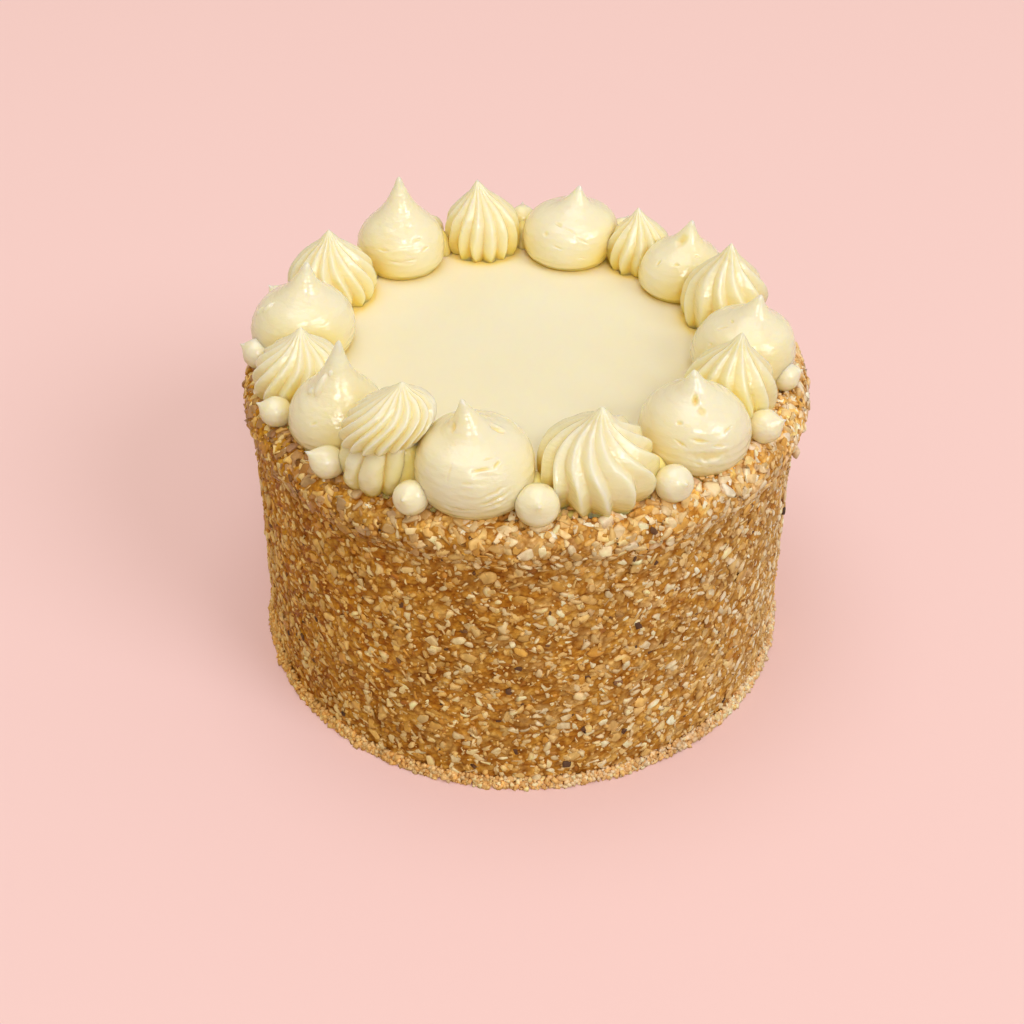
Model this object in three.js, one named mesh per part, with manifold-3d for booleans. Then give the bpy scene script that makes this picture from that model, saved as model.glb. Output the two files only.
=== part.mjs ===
// A sans rival cake: a tall round cake in a coat of chopped nuts, with a smooth cream top and a ring
// of piped cream kisses, star-piped and plain by turns. A small cream pearl sits in each outer notch.
// Millimetres, +Z up, origin at the middle of the underside, with the front towards -Y.
import * as THREE from "three";
import { mergeVertices } from "three/addons/utils/BufferGeometryUtils.js";
import Module from "manifold-3d";

const wasm = await Module();
wasm.setup();

// Driving dimensions
const cakeHeight = 89; // up to the cream's surface
const footRadius = 76.8; // the wall under the nuts, at the foot
const waist = { radius: 74.2, height: 73 }; // where the wall starts to swell
const lip = { radius: 75.9, height: 82.5 }; // the swelling under the top edge
const topRadius = 71.6; // where the rounded edge meets the level of the cream
const wallSides = 60;
const lipSteps = 5;
const creamRadius = 70;
const creamThick = 4;
const creamRound = 0.9;
const creamSides = 48;
const gap = 0.3; // kept between neighbouring pieces

const nutCount = 120; // the largest chips of the coat
const nutLength = [3.2, 5.0];
const nutSeed = 7;
const nutShare = { width: 0.78, thick: 0.56 }; // of the length
const nutUneven = 0.28; // how far a chip's corners stray, as a share of its radius
const nutSunk = 0.12; // how far a chip's middle lies inside the wall, as a share of its length
const nutTip = 15; // degrees that a chip may stand out of the wall's plane
const lipNutCount = 36; // chips along the swelling, where the coat is thickest
const lipNutStray = 1.6; // how far they lie above or below its middle

const ringRadius = 59; // from the cake's axis to the middle of a kiss
const plainSides = 18;
const flutes = 14; // teeth of the star nozzle
const fluteDepth = 0.15; // of the radius, at the widest
const sidesPerFlute = 2;
const pressHardness = 12; // how suddenly a kiss's side goes flat against its neighbour
const plainBody = 0.57; // height of a plain kiss's body, as a share of its width
const pressThin = 1; // radius that a kiss counts with where it is thinner, when it meets another
const pearlSides = 12;
const pearlTilt = 52; // degrees that a pearl's tip is pulled over, outwards
const pearlSink = 0.3; // share of its radius that a pearl is pressed flat by

// The kisses in order round the cake. at is in degrees from +X, seen from above; out is how far the
// kiss stands outside the ring; across and tall are its size; lean is how far the tip is pulled
// outwards and along the ring, in a curve that starts straighter the smaller its bend; twist is the
// turn of a star's flutes from foot to tip, in degrees; skirt is the height of a first, lower star
// that the piping began with, and tilt how much the star above it rises along the ring; firm is how
// well the kiss keeps its round form against its neighbours.
const kisses = [
  { kind: "star", at: 237.5, out: 4.8, across: 22.4, tall: 26, lean: [-5.2, 4.5], bend: 1, twist: 34,
    skirt: 11.4, tilt: 0.18 },
  { kind: "plain", at: 259.4, out: 0.2, across: 29.6, tall: 25.6, lean: [0.5, -2.9], firm: 1.1 },
  { kind: "star", at: 287.2, out: 0.5, across: 29.8, tall: 22.8, lean: [0.2, 0.8], twist: -34 },
  { kind: "plain", at: 315, out: 1, across: 27.6, tall: 23.3, lean: [-1.2, -1.3], firm: 1.3 },
  { kind: "star", at: 333.4, out: -0.5, across: 25.5, tall: 23.5, lean: [1.6, 0.8], twist: -12 },
  { kind: "plain", at: 353, out: -0.3, across: 27.5, tall: 22.8, lean: [3, 0.3] },
  { kind: "star", at: 18, out: 0.3, across: 25.5, tall: 23.8, lean: [0, -0.3], twist: -26 },
  { kind: "plain", at: 38.5, out: -0.6, across: 25, tall: 21, lean: [1.7, -1.4] },
  { kind: "star", at: 55.2, out: 1.5, across: 20.8, tall: 18, lean: [-0.6, 0.8], twist: 10 },
  { kind: "plain", at: 76, out: -0.8, across: 29.6, tall: 21.5, lean: [0.5, -2.4], firm: 1.2 },
  { kind: "star", at: 101.6, out: 1.6, across: 24.6, tall: 21.8, lean: [0.4, 1.7], twist: 8 },
  { kind: "plain", at: 126.5, out: 2.4, across: 26.4, tall: 27.6, lean: [-0.3, -0.4] },
  { kind: "star", at: 151, out: 4, across: 26.4, tall: 20.6, lean: [-0.3, -0.2], twist: -30 },
  { kind: "plain", at: 177, out: 1, across: 28, tall: 25.8, lean: [-3.2, 0] },
  { kind: "star", at: 197, out: 2, across: 25.5, tall: 19, lean: [-1.9, 0.5], twist: 30 },
  { kind: "plain", at: 218.5, out: 0, across: 24.8, tall: 27.3, lean: [-1.8, 1.3] },
];

// The pearls, each in the outer notch after a kiss, in the same order; reach is from the cake's axis.
const pearls = [
  { at: 248.6, reach: 71.2, across: 8.6 },
  { at: 273, reach: 69.6, across: 10.6 },
  { at: 300.6, reach: 70.5, across: 9.4 },
  { at: 328.2, reach: 71.2, across: 8.8 },
  { at: 347.6, reach: 70.4, across: 8 },
  { at: 6.5, reach: 68.5, across: 7 },
  { at: 28.5, reach: 71, across: 8 },
  { at: 46.8, reach: 71, across: 8 },
  { at: 64.5, reach: 71, across: 8 },
  { at: 90.3, reach: 70.7, across: 8.6 },
  { at: 113.8, reach: 71, across: 8 },
  { at: 138.5, reach: 71.5, across: 8 },
  { at: 161.8, reach: 72.4, across: 8 },
  { at: 184.6, reach: 71.3, across: 8.4 },
  { at: 207.4, reach: 70.2, across: 8.2 },
  { at: 228.4, reach: 70.7, across: 8.4 },
];

const creamPaint = { color: 0xf6e9c1, roughness: 0.45, metalness: 0 };
const nutPaint = { color: 0xb9884c, roughness: 0.8, metalness: 0 };

const radians = THREE.MathUtils.degToRad;
const mix = THREE.MathUtils.lerp;
const random = THREE.MathUtils.seededRandom;
const upright = new THREE.Vector3(0, 0, 1);
const centre = new THREE.Vector2(0, 0);

// Keeps only the positions of a geometry, merged into one closed surface with no flat-collapsed faces.
function closedSurface(geometry) {
  geometry.deleteAttribute("normal");
  geometry.deleteAttribute("uv");
  const merged = mergeVertices(geometry, 1e-4);
  const corners = [];
  for (let i = 0; i < merged.index.count; i += 3) {
    const [a, b, c] = [0, 1, 2].map((k) => merged.index.getX(i + k));
    if (a !== b && b !== c && c !== a) corners.push(a, b, c);
  }
  merged.setIndex(corners);
  return merged;
}

// Moves every vertex of a geometry by a function that changes a point in place.
function reshape(geometry, change) {
  const positions = geometry.attributes.position;
  const point = new THREE.Vector3();
  for (let i = 0; i < positions.count; i++) {
    point.fromBufferAttribute(positions, i);
    change(point);
    positions.setXYZ(i, point.x, point.y, point.z);
  }
  return geometry;
}

// A body turned about +Z from an outline of [radius, height] pairs that starts and ends on the axis.
function turned(outline, sides) {
  const points = outline.map(([radius, height]) => new THREE.Vector2(radius, height));
  return closedSurface(new THREE.LatheGeometry(points, sides).rotateX(Math.PI / 2));
}

function toSolid(geometry) {
  const vertProperties = new Float32Array(geometry.attributes.position.array);
  const triVerts = new Uint32Array(geometry.index.array);
  return new wasm.Manifold(new wasm.Mesh({ numProp: 3, vertProperties, triVerts }));
}

function toGeometry(solid) {
  const { vertProperties, triVerts } = solid.getMesh();
  const geometry = new THREE.BufferGeometry();
  geometry.setAttribute("position", new THREE.BufferAttribute(vertProperties, 3));
  return geometry.setIndex(new THREE.BufferAttribute(triVerts, 1));
}

function namedMesh(name, geometry, paint) {
  geometry.computeVertexNormals();
  const mesh = new THREE.Mesh(geometry, new THREE.MeshStandardMaterial(paint));
  mesh.name = name;
  return mesh;
}

// One angular nut chip, an uneven icosahedron, lying along the wall with a random turn.
function nutChip(length, place) {
  const chip = closedSurface(new THREE.IcosahedronGeometry(length / 2, 0));
  reshape(chip, (corner) => corner.multiplyScalar(1 + nutUneven * (2 * random() - 1)));
  chip.scale(nutShare.thick, nutShare.width, 1); // thin across the wall
  chip.rotateX(Math.PI * random());
  chip.rotateY(radians(nutTip) * (2 * random() - 1));
  chip.translate(place.radius - nutSunk * length, 0, place.height);
  return toSolid(chip.rotateZ(place.angle));
}

// Radius of the wall, under the nuts, at a height below its swelling.
function wallRadius(height) {
  return mix(footRadius, waist.radius, height / waist.height);
}

// The uncut cake: a wall that swells to a rounded top edge, a shallow seat for the cream, and the
// largest nut chips fused on, spread evenly by the golden angle, with a closer row on the swelling.
function cakeBody() {
  random(nutSeed);
  const seat = cakeHeight - creamThick - gap;
  const swelling = new THREE.SplineCurve([
    new THREE.Vector2(waist.radius, waist.height),
    new THREE.Vector2(lip.radius, lip.height),
    new THREE.Vector2(topRadius, cakeHeight),
  ]);
  const wall = turned(
    [
      [0, 0],
      [footRadius, 0],
      ...swelling.getPoints(lipSteps).map(({ x, y }) => [x, y]),
      [creamRadius + gap, cakeHeight],
      [creamRadius + gap, seat],
      [0, seat],
    ],
    wallSides,
  );
  const goldenAngle = Math.PI * (3 - Math.sqrt(5));
  const chips = [];
  const addChip = (angle, radius, height) => {
    chips.push(nutChip(mix(...nutLength, random()), { angle, radius, height }));
  };
  const lowest = nutLength[1] / 2 + gap;
  const highest = lip.height - nutLength[1];
  for (let i = 0; i < nutCount; i++) {
    const height = mix(lowest, highest, (i + 0.5) / nutCount);
    addChip(i * goldenAngle, wallRadius(height), height);
  }
  for (let i = 0; i < lipNutCount; i++) {
    const angle = ((i + 0.5 * random()) / lipNutCount) * 2 * Math.PI;
    addChip(angle, lip.radius, lip.height + lipNutStray * (2 * random() - 1));
  }
  return toGeometry(wasm.Manifold.union([toSolid(wall), ...chips]));
}

function creamTop() {
  const under = cakeHeight - creamThick;
  return turned(
    [
      [0, under],
      [creamRadius, under],
      [creamRadius, cakeHeight - creamRound],
      [creamRadius - creamRound, cakeHeight],
      [0, cakeHeight],
    ],
    creamSides,
  );
}

// Outline of a plain kiss: a round body pressed flat below, drawn out to a hollow-sided tip.
function plainOutline({ across, tall }) {
  const wide = across / 2;
  const body = plainBody * across;
  const tip = tall - body;
  return [
    [0, 0],
    [0.8 * wide, 0],
    [0.96 * wide, 0.18 * body],
    [wide, 0.36 * body],
    [0.94 * wide, 0.62 * body],
    [0.76 * wide, 0.86 * body],
    [0.47 * wide, body + 0.05 * tip],
    [0.27 * wide, body + 0.34 * tip],
    [0.12 * wide, body + 0.7 * tip],
    [0, tall],
  ];
}

// Outline of a star kiss, an onion shape; with a skirt it stands on a shorter, narrower first star.
function starOutline({ across, tall, skirt = 0 }) {
  const wide = across / 2;
  const onion = tall - skirt;
  const first = [
    [0.72 * wide, 0],
    [0.79 * wide, 0.25 * skirt],
    [0.77 * wide, 0.7 * skirt],
    [0.68 * wide, skirt],
  ];
  return [
    [0, 0],
    ...(skirt ? first : [[0.88 * wide, 0]]),
    [wide, skirt + 0.16 * onion],
    [0.98 * wide, skirt + 0.33 * onion],
    [0.85 * wide, skirt + 0.5 * onion],
    [0.58 * wide, skirt + 0.66 * onion],
    [0.26 * wide, skirt + 0.81 * onion],
    [0.1 * wide, skirt + 0.92 * onion],
    [0, tall],
  ];
}

function kissOutline(shape) {
  return shape.kind === "star" ? starOutline(shape) : plainOutline(shape);
}

// Radius of an outline at a height, on the straight line between the points below and above it.
function radiusAt(outline, height) {
  const above = outline.findIndex(([, level], i) => i > 1 && level >= height);
  if (above < 0) return 0;
  const [[lowRadius, low], [highRadius, high]] = [outline[above - 1], outline[above]];
  return mix(lowRadius, highRadius, (height - low) / (high - low));
}

// How far a kiss is pulled over at a height, as a share of its lean.
function pullAt({ tall, bend = 2 }, height) {
  return (height / tall) ** bend;
}

// The angle from one kiss to where it meets the next at a height, by how wide and firm both are there.
function meeting(one, two, height) {
  const [first, second] = [one, two].map((shape) => {
    const radius = Math.max(radiusAt(kissOutline(shape), height), pressThin);
    return radius * (shape.firm ?? 1);
  });
  return (turnBetween(one, two) * first) / (first + second);
}

function turnBetween(one, two) {
  return radians((two.at - one.at + 360) % 360);
}

// Presses the nozzle's flutes into a star: ridges that run from the foot to the tip and turn on the way.
function pressFlutes(geometry, { tall, twist, skirt = 0 }) {
  return reshape(geometry, (point) => {
    const climb = Math.max(0, point.z - skirt) / (tall - skirt);
    const around = Math.atan2(point.y, point.x);
    const ridge = Math.abs(Math.cos((flutes / 2) * around));
    const narrowing = 1 - fluteDepth * (1 - ridge);
    point.set(point.x * narrowing, point.y * narrowing, point.z);
    point.applyAxisAngle(upright, radians(twist) * climb);
  });
}

// Holds an angle inside a limit, bending smoothly as it nears it.
function withinLimit(angle, limit) {
  return angle / (1 + Math.abs(angle / limit) ** pressHardness) ** (1 / pressHardness);
}

// A kiss in its own place: +X outwards, +Y along the ring. Its tip leans, and its sides are pressed
// flat where they meet the neighbours before and after it round the cake.
function kiss(shape, before, after) {
  const star = shape.kind === "star";
  const body = turned(kissOutline(shape), star ? flutes * sidesPerFlute : plainSides);
  if (star) pressFlutes(body, shape);
  const middle = ringRadius + shape.out;
  const spare = gap / 2 / ringRadius;
  const { skirt = 0, tilt = 0 } = shape;
  return reshape(body, (point) => {
    const pull = pullAt(shape, point.z);
    point.z += tilt * point.y * Math.min(point.z / (skirt || shape.tall), 1);
    point.x += shape.lean[0] * pull;
    point.y += shape.lean[1] * pull;
    const reach = Math.hypot(middle + point.x, point.y);
    const angle = Math.atan2(point.y, middle + point.x);
    const back = turnBetween(before, shape) - meeting(before, shape, point.z);
    const ahead = meeting(shape, after, point.z);
    const held = withinLimit(angle, (angle < 0 ? back : ahead) - spare);
    point.x = reach * Math.cos(held) - middle;
    point.y = reach * Math.sin(held);
  });
}

// A pearl in its own place in a notch: a small round drop with a nipple tip, pulled over outwards,
// pressed flat underneath and dented where it meets the two neighbours.
function pearl({ at, reach, across }, neighbours) {
  const wide = across / 2;
  const body = turned(
    [
      [0, -wide],
      [0.6 * wide, -0.8 * wide],
      [0.98 * wide, -0.2 * wide],
      [0.86 * wide, 0.5 * wide],
      [0.42 * wide, 0.9 * wide],
      [0.16 * wide, 1.12 * wide],
      [0, 1.34 * wide],
    ],
    pearlSides,
  );
  body.rotateY(radians(pearlTilt));
  const floor = -wide * (1 - pearlSink);
  const obstacles = neighbours.map((shape) => {
    const turn = radians(shape.at - at);
    const axis = new THREE.Vector2(ringRadius + shape.out, 0).rotateAround(centre, turn);
    const lean = new THREE.Vector2(...shape.lean).rotateAround(centre, turn);
    axis.x -= reach;
    return { axis, lean, shape, outline: kissOutline(shape) };
  });
  return reshape(body, (point) => {
    point.z = Math.max(point.z, floor) - floor;
    for (const { axis, lean, shape, outline } of obstacles) {
      const middle = axis.clone().addScaledVector(lean, pullAt(shape, point.z));
      const away = new THREE.Vector2(point.x, point.y).sub(middle);
      const clear = radiusAt(outline, point.z) + gap;
      if (away.length() < clear) away.setLength(clear);
      point.set(middle.x + away.x, middle.y + away.y, point.z);
    }
  });
}

// The ring of kisses and pearls, each in a group turned to its place round the cake.
function pipedRing() {
  const ring = new THREE.Group();
  const counts = { star: 0, plain: 0 };
  const size = kisses.length;
  const place = (mesh, angle, reach) => {
    const spoke = new THREE.Group();
    spoke.rotation.z = radians(angle);
    mesh.position.set(reach, 0, cakeHeight + gap);
    ring.add(spoke.add(mesh));
  };
  kisses.forEach((shape, i) => {
    counts[shape.kind] += 1;
    const before = kisses[(i + size - 1) % size];
    const after = kisses[(i + 1) % size];
    const name = `${shape.kind}_kiss_${counts[shape.kind]}`;
    place(namedMesh(name, kiss(shape, before, after), creamPaint), shape.at, ringRadius + shape.out);
    const drop = pearl(pearls[i], [shape, after]);
    place(namedMesh(`pearl_${i + 1}`, drop, creamPaint), pearls[i].at, pearls[i].reach);
  });
  return ring;
}

const cake = new THREE.Group();
cake.add(namedMesh("cake_body", cakeBody(), nutPaint));
cake.add(namedMesh("cream_top", creamTop(), creamPaint));
cake.add(pipedRing());

export default cake;
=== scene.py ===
import math

import bmesh
import bpy
import numpy as np
from mathutils import Matrix, Vector, noise


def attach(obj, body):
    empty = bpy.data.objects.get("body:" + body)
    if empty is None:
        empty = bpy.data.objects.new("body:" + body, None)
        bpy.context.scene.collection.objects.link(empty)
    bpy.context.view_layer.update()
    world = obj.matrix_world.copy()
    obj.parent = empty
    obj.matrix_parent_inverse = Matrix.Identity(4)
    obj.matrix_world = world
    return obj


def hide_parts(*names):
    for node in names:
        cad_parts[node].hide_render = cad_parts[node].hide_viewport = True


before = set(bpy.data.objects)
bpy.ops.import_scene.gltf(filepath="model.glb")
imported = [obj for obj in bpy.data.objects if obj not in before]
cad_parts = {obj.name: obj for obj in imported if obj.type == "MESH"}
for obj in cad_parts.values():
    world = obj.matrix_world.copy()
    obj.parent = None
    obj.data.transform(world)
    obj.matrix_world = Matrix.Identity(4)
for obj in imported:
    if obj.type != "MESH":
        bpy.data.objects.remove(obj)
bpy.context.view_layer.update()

mm = 0.001
goldenAngle = math.pi * (3 - math.sqrt(5))
noiseShift = (17.3, -9.1, 4.7)  # how far apart in the noise two seeds lie
noise.seed_set(4)  # the same crooked outlines in each run


# Small tools that every piece uses. Lengths are millimetres until a piece is finished.

def smoothLine(points, count, between=24):
    # a line of evenly spaced points that runs smoothly through the given ones
    points = np.array(points, float)
    ends = np.vstack([2 * points[0] - points[1], points, 2 * points[-1] - points[-2]])
    step = np.linspace(0, 1, between, endpoint=False)[:, None]
    fine = []
    for a, b, c, d in zip(ends, ends[1:], ends[2:], ends[3:]):
        bend = (2 * a - 5 * b + 4 * c - d) * step**2 + (3 * b - a - 3 * c + d) * step**3
        fine.append(b + 0.5 * ((c - a) * step + bend))
    fine = np.vstack(fine + [points[-1:]])
    gone = np.concatenate([[0], np.cumsum(np.linalg.norm(np.diff(fine, axis=0), axis=1))])
    even = np.linspace(0, gone[-1], count)
    return np.column_stack([np.interp(even, gone, fine[:, i]) for i in (0, 1)])


def spinShell(outline, steps, cuts):
    # a closed body turned about +Z from (radius, height) pairs that start and end on the axis;
    # each step of the spin is cut finer afterwards and rounded again
    shell = bmesh.new()
    rim = [shell.verts.new((max(radius, 0), 0, height)) for radius, height in outline]
    line = [shell.edges.new(pair) for pair in zip(rim, rim[1:])]
    bmesh.ops.spin(shell, geom=rim + line, cent=(0, 0, 0), axis=(0, 0, 1), angle=2 * math.pi,
                   steps=steps, use_merge=True)
    bmesh.ops.remove_doubles(shell, verts=shell.verts, dist=1e-5)
    hoops = [edge for edge in shell.edges
             if abs(edge.verts[0].co.z - edge.verts[1].co.z) < 1e-4
             and abs(edge.verts[0].co.xy.length - edge.verts[1].co.xy.length) < 1e-4]
    cutFiner(shell, hoops, cuts)
    points = pointsOf(shell)
    half = math.pi / steps
    off = np.mod(np.arctan2(points[:, 1], points[:, 0]), 2 * half) - half
    points[:, :2] *= (np.cos(off) / math.cos(half))[:, None]
    movePoints(shell, points)
    bmesh.ops.recalc_face_normals(shell, faces=shell.faces)
    return shell


def cutFiner(shell, edges, cuts):
    bmesh.ops.subdivide_edges(shell, edges=edges, cuts=cuts, use_grid_fill=True)
    bmesh.ops.triangulate(shell, faces=[face for face in shell.faces if len(face.verts) > 4])


def pointsOf(shell):
    return np.array([vert.co for vert in shell.verts])


def solidPoints(node):
    return np.array([vert.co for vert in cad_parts[node].data.vertices]) / mm


def movePoints(shell, points):
    for vert, place in zip(shell.verts, points):
        vert.co = place
    shell.normal_update()


def noiseAt(points, size, seed):
    # soft noise between -1 and 1 with lumps of about that size
    shift = Vector([step * seed for step in noiseShift])
    return np.array([noise.noise(Vector(p) / size + shift) for p in points])


def eased(share):
    # from 0 to 1 with a soft start and a soft end
    return share**2 * (3 - 2 * share)


def finishPiece(name, shell, material, replaced, marks):
    # bmesh in millimetres to an object at the origin that rides on the cake
    bmesh.ops.scale(shell, vec=(mm, mm, mm), verts=shell.verts)
    mesh = bpy.data.meshes.new(name)
    shell.to_mesh(mesh)
    shell.free()
    return dressPiece(name, mesh, material, replaced, marks)


def dressPiece(name, mesh, material, replaced, marks):
    mesh.polygons.foreach_set("use_smooth", np.full(len(mesh.polygons), True))
    for markName, values in marks.items():
        kind, field = ("FLOAT", "value") if values.ndim == 1 else ("FLOAT_COLOR", "color")
        layer = mesh.attributes.new(markName, kind, "POINT")
        layer.data.foreach_set(field, values.astype(np.float32).ravel())
    mesh.materials.append(material)
    piece = bpy.data.objects.new(name, mesh)
    bpy.context.scene.collection.objects.link(piece)
    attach(piece, "root")
    if replaced:
        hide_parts(*replaced)
    return piece


# Materials

class Paint:
    # a material with its Principled shader at hand
    def __init__(self, name):
        self.material = bpy.data.materials.new(name)
        self.material.use_nodes = True
        self.nodes = self.material.node_tree.nodes
        self.links = self.material.node_tree.links
        self.shader = self.nodes["Principled BSDF"]
        self.place = self.nodes.new("ShaderNodeTexCoord").outputs["Object"]

    def fix(self, **values):
        for socket, value in values.items():
            self.shader.inputs[socket.replace("_", " ")].default_value = value

    def noise(self, scale, detail=3, roughness=0.5, place=None):
        node = self.nodes.new("ShaderNodeTexNoise")
        node.inputs["Scale"].default_value = scale
        node.inputs["Detail"].default_value = detail
        node.inputs["Roughness"].default_value = roughness
        self.links.new(place or self.place, node.inputs["Vector"])
        return node.outputs["Fac"]

    def stretched(self, scale, turn=0, detail=3):
        # noise that is drawn out along one direction
        place = self.nodes.new("ShaderNodeMapping")
        place.inputs["Rotation"].default_value = (0, 0, math.radians(turn))
        place.inputs["Scale"].default_value = scale
        self.links.new(self.place, place.inputs["Vector"])
        return self.noise(1, detail, place=place.outputs["Vector"])

    def cells(self, scale):
        node = self.nodes.new("ShaderNodeTexVoronoi")
        node.inputs["Scale"].default_value = scale
        self.links.new(self.place, node.inputs["Vector"])
        return node

    def layer(self, name, output):
        node = self.nodes.new("ShaderNodeAttribute")
        node.attribute_name = name
        return node.outputs[output]

    def ramp(self, value, stops):
        node = self.nodes.new("ShaderNodeValToRGB")
        bar = node.color_ramp.elements
        while len(bar) < len(stops):
            bar.new(0.5)
        for stop, (at, tint) in zip(bar, stops):
            stop.position = at
            stop.color = (*tint, 1)
        self.links.new(value, node.inputs["Fac"])
        return node.outputs["Color"]

    def span(self, value, low, high):
        node = self.nodes.new("ShaderNodeMapRange")
        node.inputs["To Min"].default_value = low
        node.inputs["To Max"].default_value = high
        self.links.new(value, node.inputs["Value"])
        return node.outputs["Result"]

    def blend(self, share, first, second, how="MIX"):
        node = self.nodes.new("ShaderNodeMix")
        node.data_type = "RGBA"
        node.blend_type = how
        for socket, value in ((node.inputs[0], share), (node.inputs[6], first), (node.inputs[7], second)):
            if isinstance(value, bpy.types.NodeSocket):
                self.links.new(value, socket)
            else:
                socket.default_value = value if isinstance(value, float) else (*value, 1)
        return node.outputs[2]

    def bump(self, heights, reach):
        # heights is a list of (value, strength), laid one on the other
        below = None
        for value, strength in heights:
            node = self.nodes.new("ShaderNodeBump")
            node.inputs["Strength"].default_value = strength
            node.inputs["Distance"].default_value = reach
            self.links.new(value, node.inputs["Height"])
            if below:
                self.links.new(below, node.inputs["Normal"])
            below = node.outputs["Normal"]
        self.links.new(below, self.shader.inputs["Normal"])

    def feed(self, socket, value):
        self.links.new(value, self.shader.inputs[socket])


creamTints = {
    "pale": (0.925, 0.868, 0.69),
    "rich": (0.92, 0.84, 0.60),
    # painted golden shade for the cream's creases, hollows and feet, and where pieces meet
    "shadeGold": (0.97, 0.775, 0.29),
    "deep": (0.99, 0.73, 0.2),  # painted deeper shade right where two pieces meet
    "glow": (1.0, 0.88, 0.5),  # how far red, green and blue travel inside the cream
    "glowDepth": 0.0048,
    "pearlDepth": 0.0026,
    "topDepth": 0.0024,
    "topPale": (0.895, 0.848, 0.655),  # painted shade: the flat top is a little darker and richer, which tones down the stronger light on it
    "topRich": (0.89, 0.815, 0.57),
}


def goldenCream(paint, clouds):
    # the attribute read here says where golden shade is painted into the cream
    shadeGold = paint.layer("shadeGold", "Fac")
    golden = paint.ramp(shadeGold, [(0.7, creamTints["shadeGold"]), (1.0, creamTints["deep"])])
    paint.feed("Base Color", paint.blend(shadeGold, clouds, golden))


def pipedCream(name, glowDepth):
    paint = Paint(name)
    clouds = paint.ramp(paint.noise(55, 3), [(0.35, creamTints["pale"]), (0.75, creamTints["rich"])])
    goldenCream(paint, clouds)
    paint.feed("Roughness", paint.span(paint.noise(260, 2), 0.10, 0.30))
    paint.bump([(paint.stretched((300, 300, 800)), 0.42), (paint.noise(1500, 2), 0.05)], 0.0006)
    paint.fix(Subsurface_Weight=1.0 if glowDepth else 0.0, Subsurface_Radius=creamTints["glow"],
              Subsurface_Scale=glowDepth, Specular_IOR_Level=0.75)
    return paint.material


def spreadCream(name):
    # the flat top, with faint marks of the palette knife
    paint = Paint(name)
    smears = paint.stretched((9, 60, 20), 22, 4)
    clouds = paint.ramp(paint.noise(22, 4), [(0.3, creamTints["topPale"]), (0.8, creamTints["topRich"])])
    goldenCream(paint, clouds)
    paint.feed("Roughness", paint.span(smears, 0.34, 0.56))
    paint.bump([(smears, 0.12), (paint.noise(700, 3), 0.05)], 0.0008)
    paint.fix(Subsurface_Weight=1.0, Subsurface_Radius=creamTints["glow"],
              Subsurface_Scale=creamTints["topDepth"], Specular_IOR_Level=0.4)
    return paint.material


def nutFinish(name, roughness, streaks, gloss):
    # roasted nut: each fragment's tone with its painted light and shade, clouded, with faint fibres
    paint = Paint(name)
    cloud = paint.ramp(paint.stretched(streaks), [(0.3, (0.80, 0.76, 0.68)), (0.7, (1.10, 1.10, 1.10))])
    paint.feed("Base Color", paint.blend(1.0, paint.layer("tone", "Color"), cloud, "MULTIPLY"))
    paint.feed("Roughness", paint.span(paint.noise(900, 2), roughness - 0.14, roughness + 0.14))
    paint.bump([(paint.noise(1100, 3), 0.25)], 0.0003)
    paint.fix(Specular_IOR_Level=gloss)
    return paint.material


def crumbFinish(name):
    # the sticky nut paste that the larger fragments lie in: its patches of tone with painted light and shade,
    # with fibres and grit
    paint = Paint(name)
    fibres = paint.ramp(paint.noise(620, 4, 0.6), [(0.3, (0.72, 0.65, 0.54)), (0.7, (1.2, 1.24, 1.32))])
    grains = paint.cells(1000)
    grit = paint.ramp(grains.outputs["Color"], [(0.0, (0.84, 0.78, 0.68)), (0.6, (1.0, 1.0, 1.0)),
                                                (1.0, (1.2, 1.26, 1.4))])
    patches = paint.blend(1.0, paint.layer("tone", "Color"), fibres, "MULTIPLY")
    paint.feed("Base Color", paint.blend(1.0, patches, grit, "MULTIPLY"))
    paint.feed("Roughness", paint.span(paint.noise(700, 2), 0.34, 0.62))
    paint.bump([(grains.outputs["Distance"], 0.25), (paint.noise(1100, 4), 0.4)], 0.0005)
    paint.fix(Specular_IOR_Level=0.12)
    return paint.material


# The coat of chopped nuts

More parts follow.
